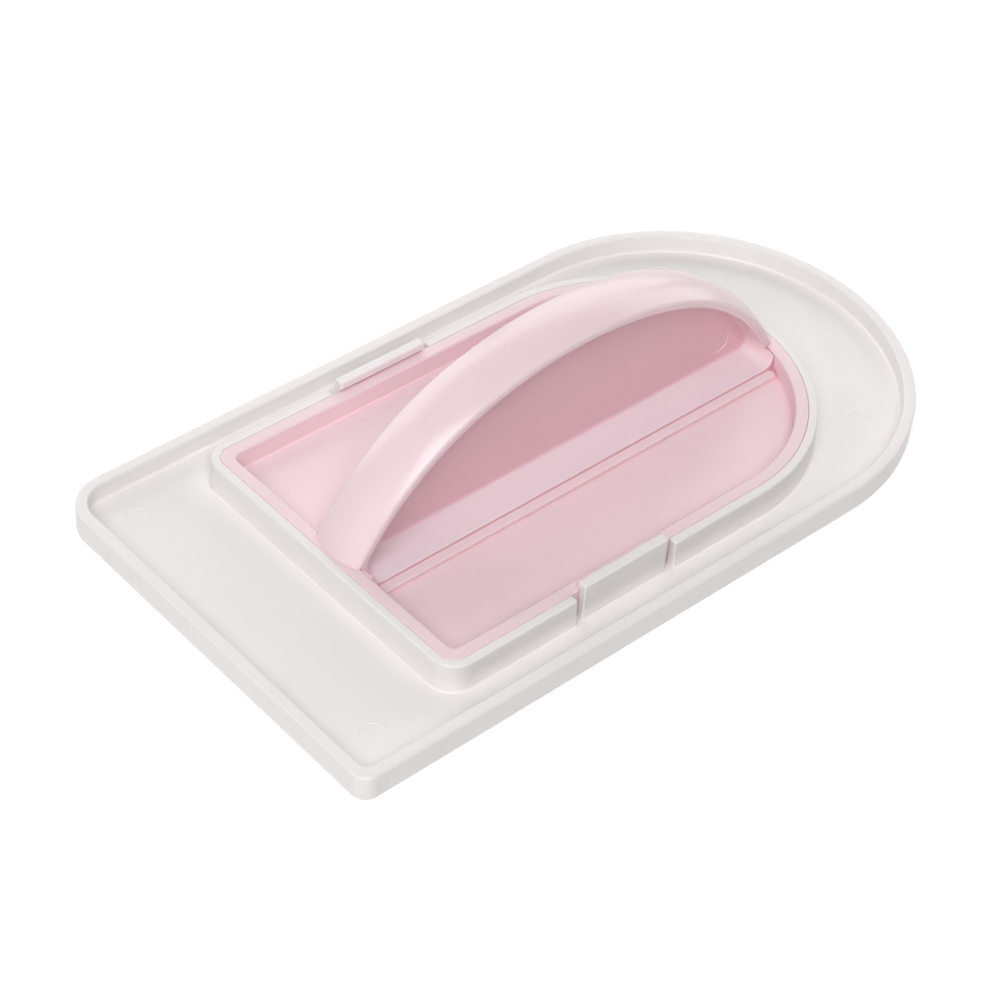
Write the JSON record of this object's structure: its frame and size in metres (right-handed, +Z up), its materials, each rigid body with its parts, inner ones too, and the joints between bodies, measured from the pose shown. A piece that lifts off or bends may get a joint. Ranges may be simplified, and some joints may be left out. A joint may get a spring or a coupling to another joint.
{
  "type": "icing smoother",
  "caption": "Flat icing smoother: a rimmed plate with one round and one square end, and a crowned arch grip with a web, clipped into a sunk tray.",
  "frame": {"origin": "centre of the smoothing face, on its underside", "axes": "+X from the square end to the round nose, +Y across the plate towards the side with the larger corner, +Z up through the grip"},
  "size_m": [0.149, 0.08, 0.0342],
  "materials": {
    "plate_plastic": "white moulded plastic, satin sheen",
    "tray_plastic": "pale pink moulded plastic, satin sheen",
    "grip_plastic": "pale pink moulded plastic, soft gloss"
  },
  "bodies": {
    "root": {"smoothing_plate": "plate_plastic", "handle_tray": "tray_plastic", "grip_handle": "grip_plastic"}
  },
  "joints": []
}
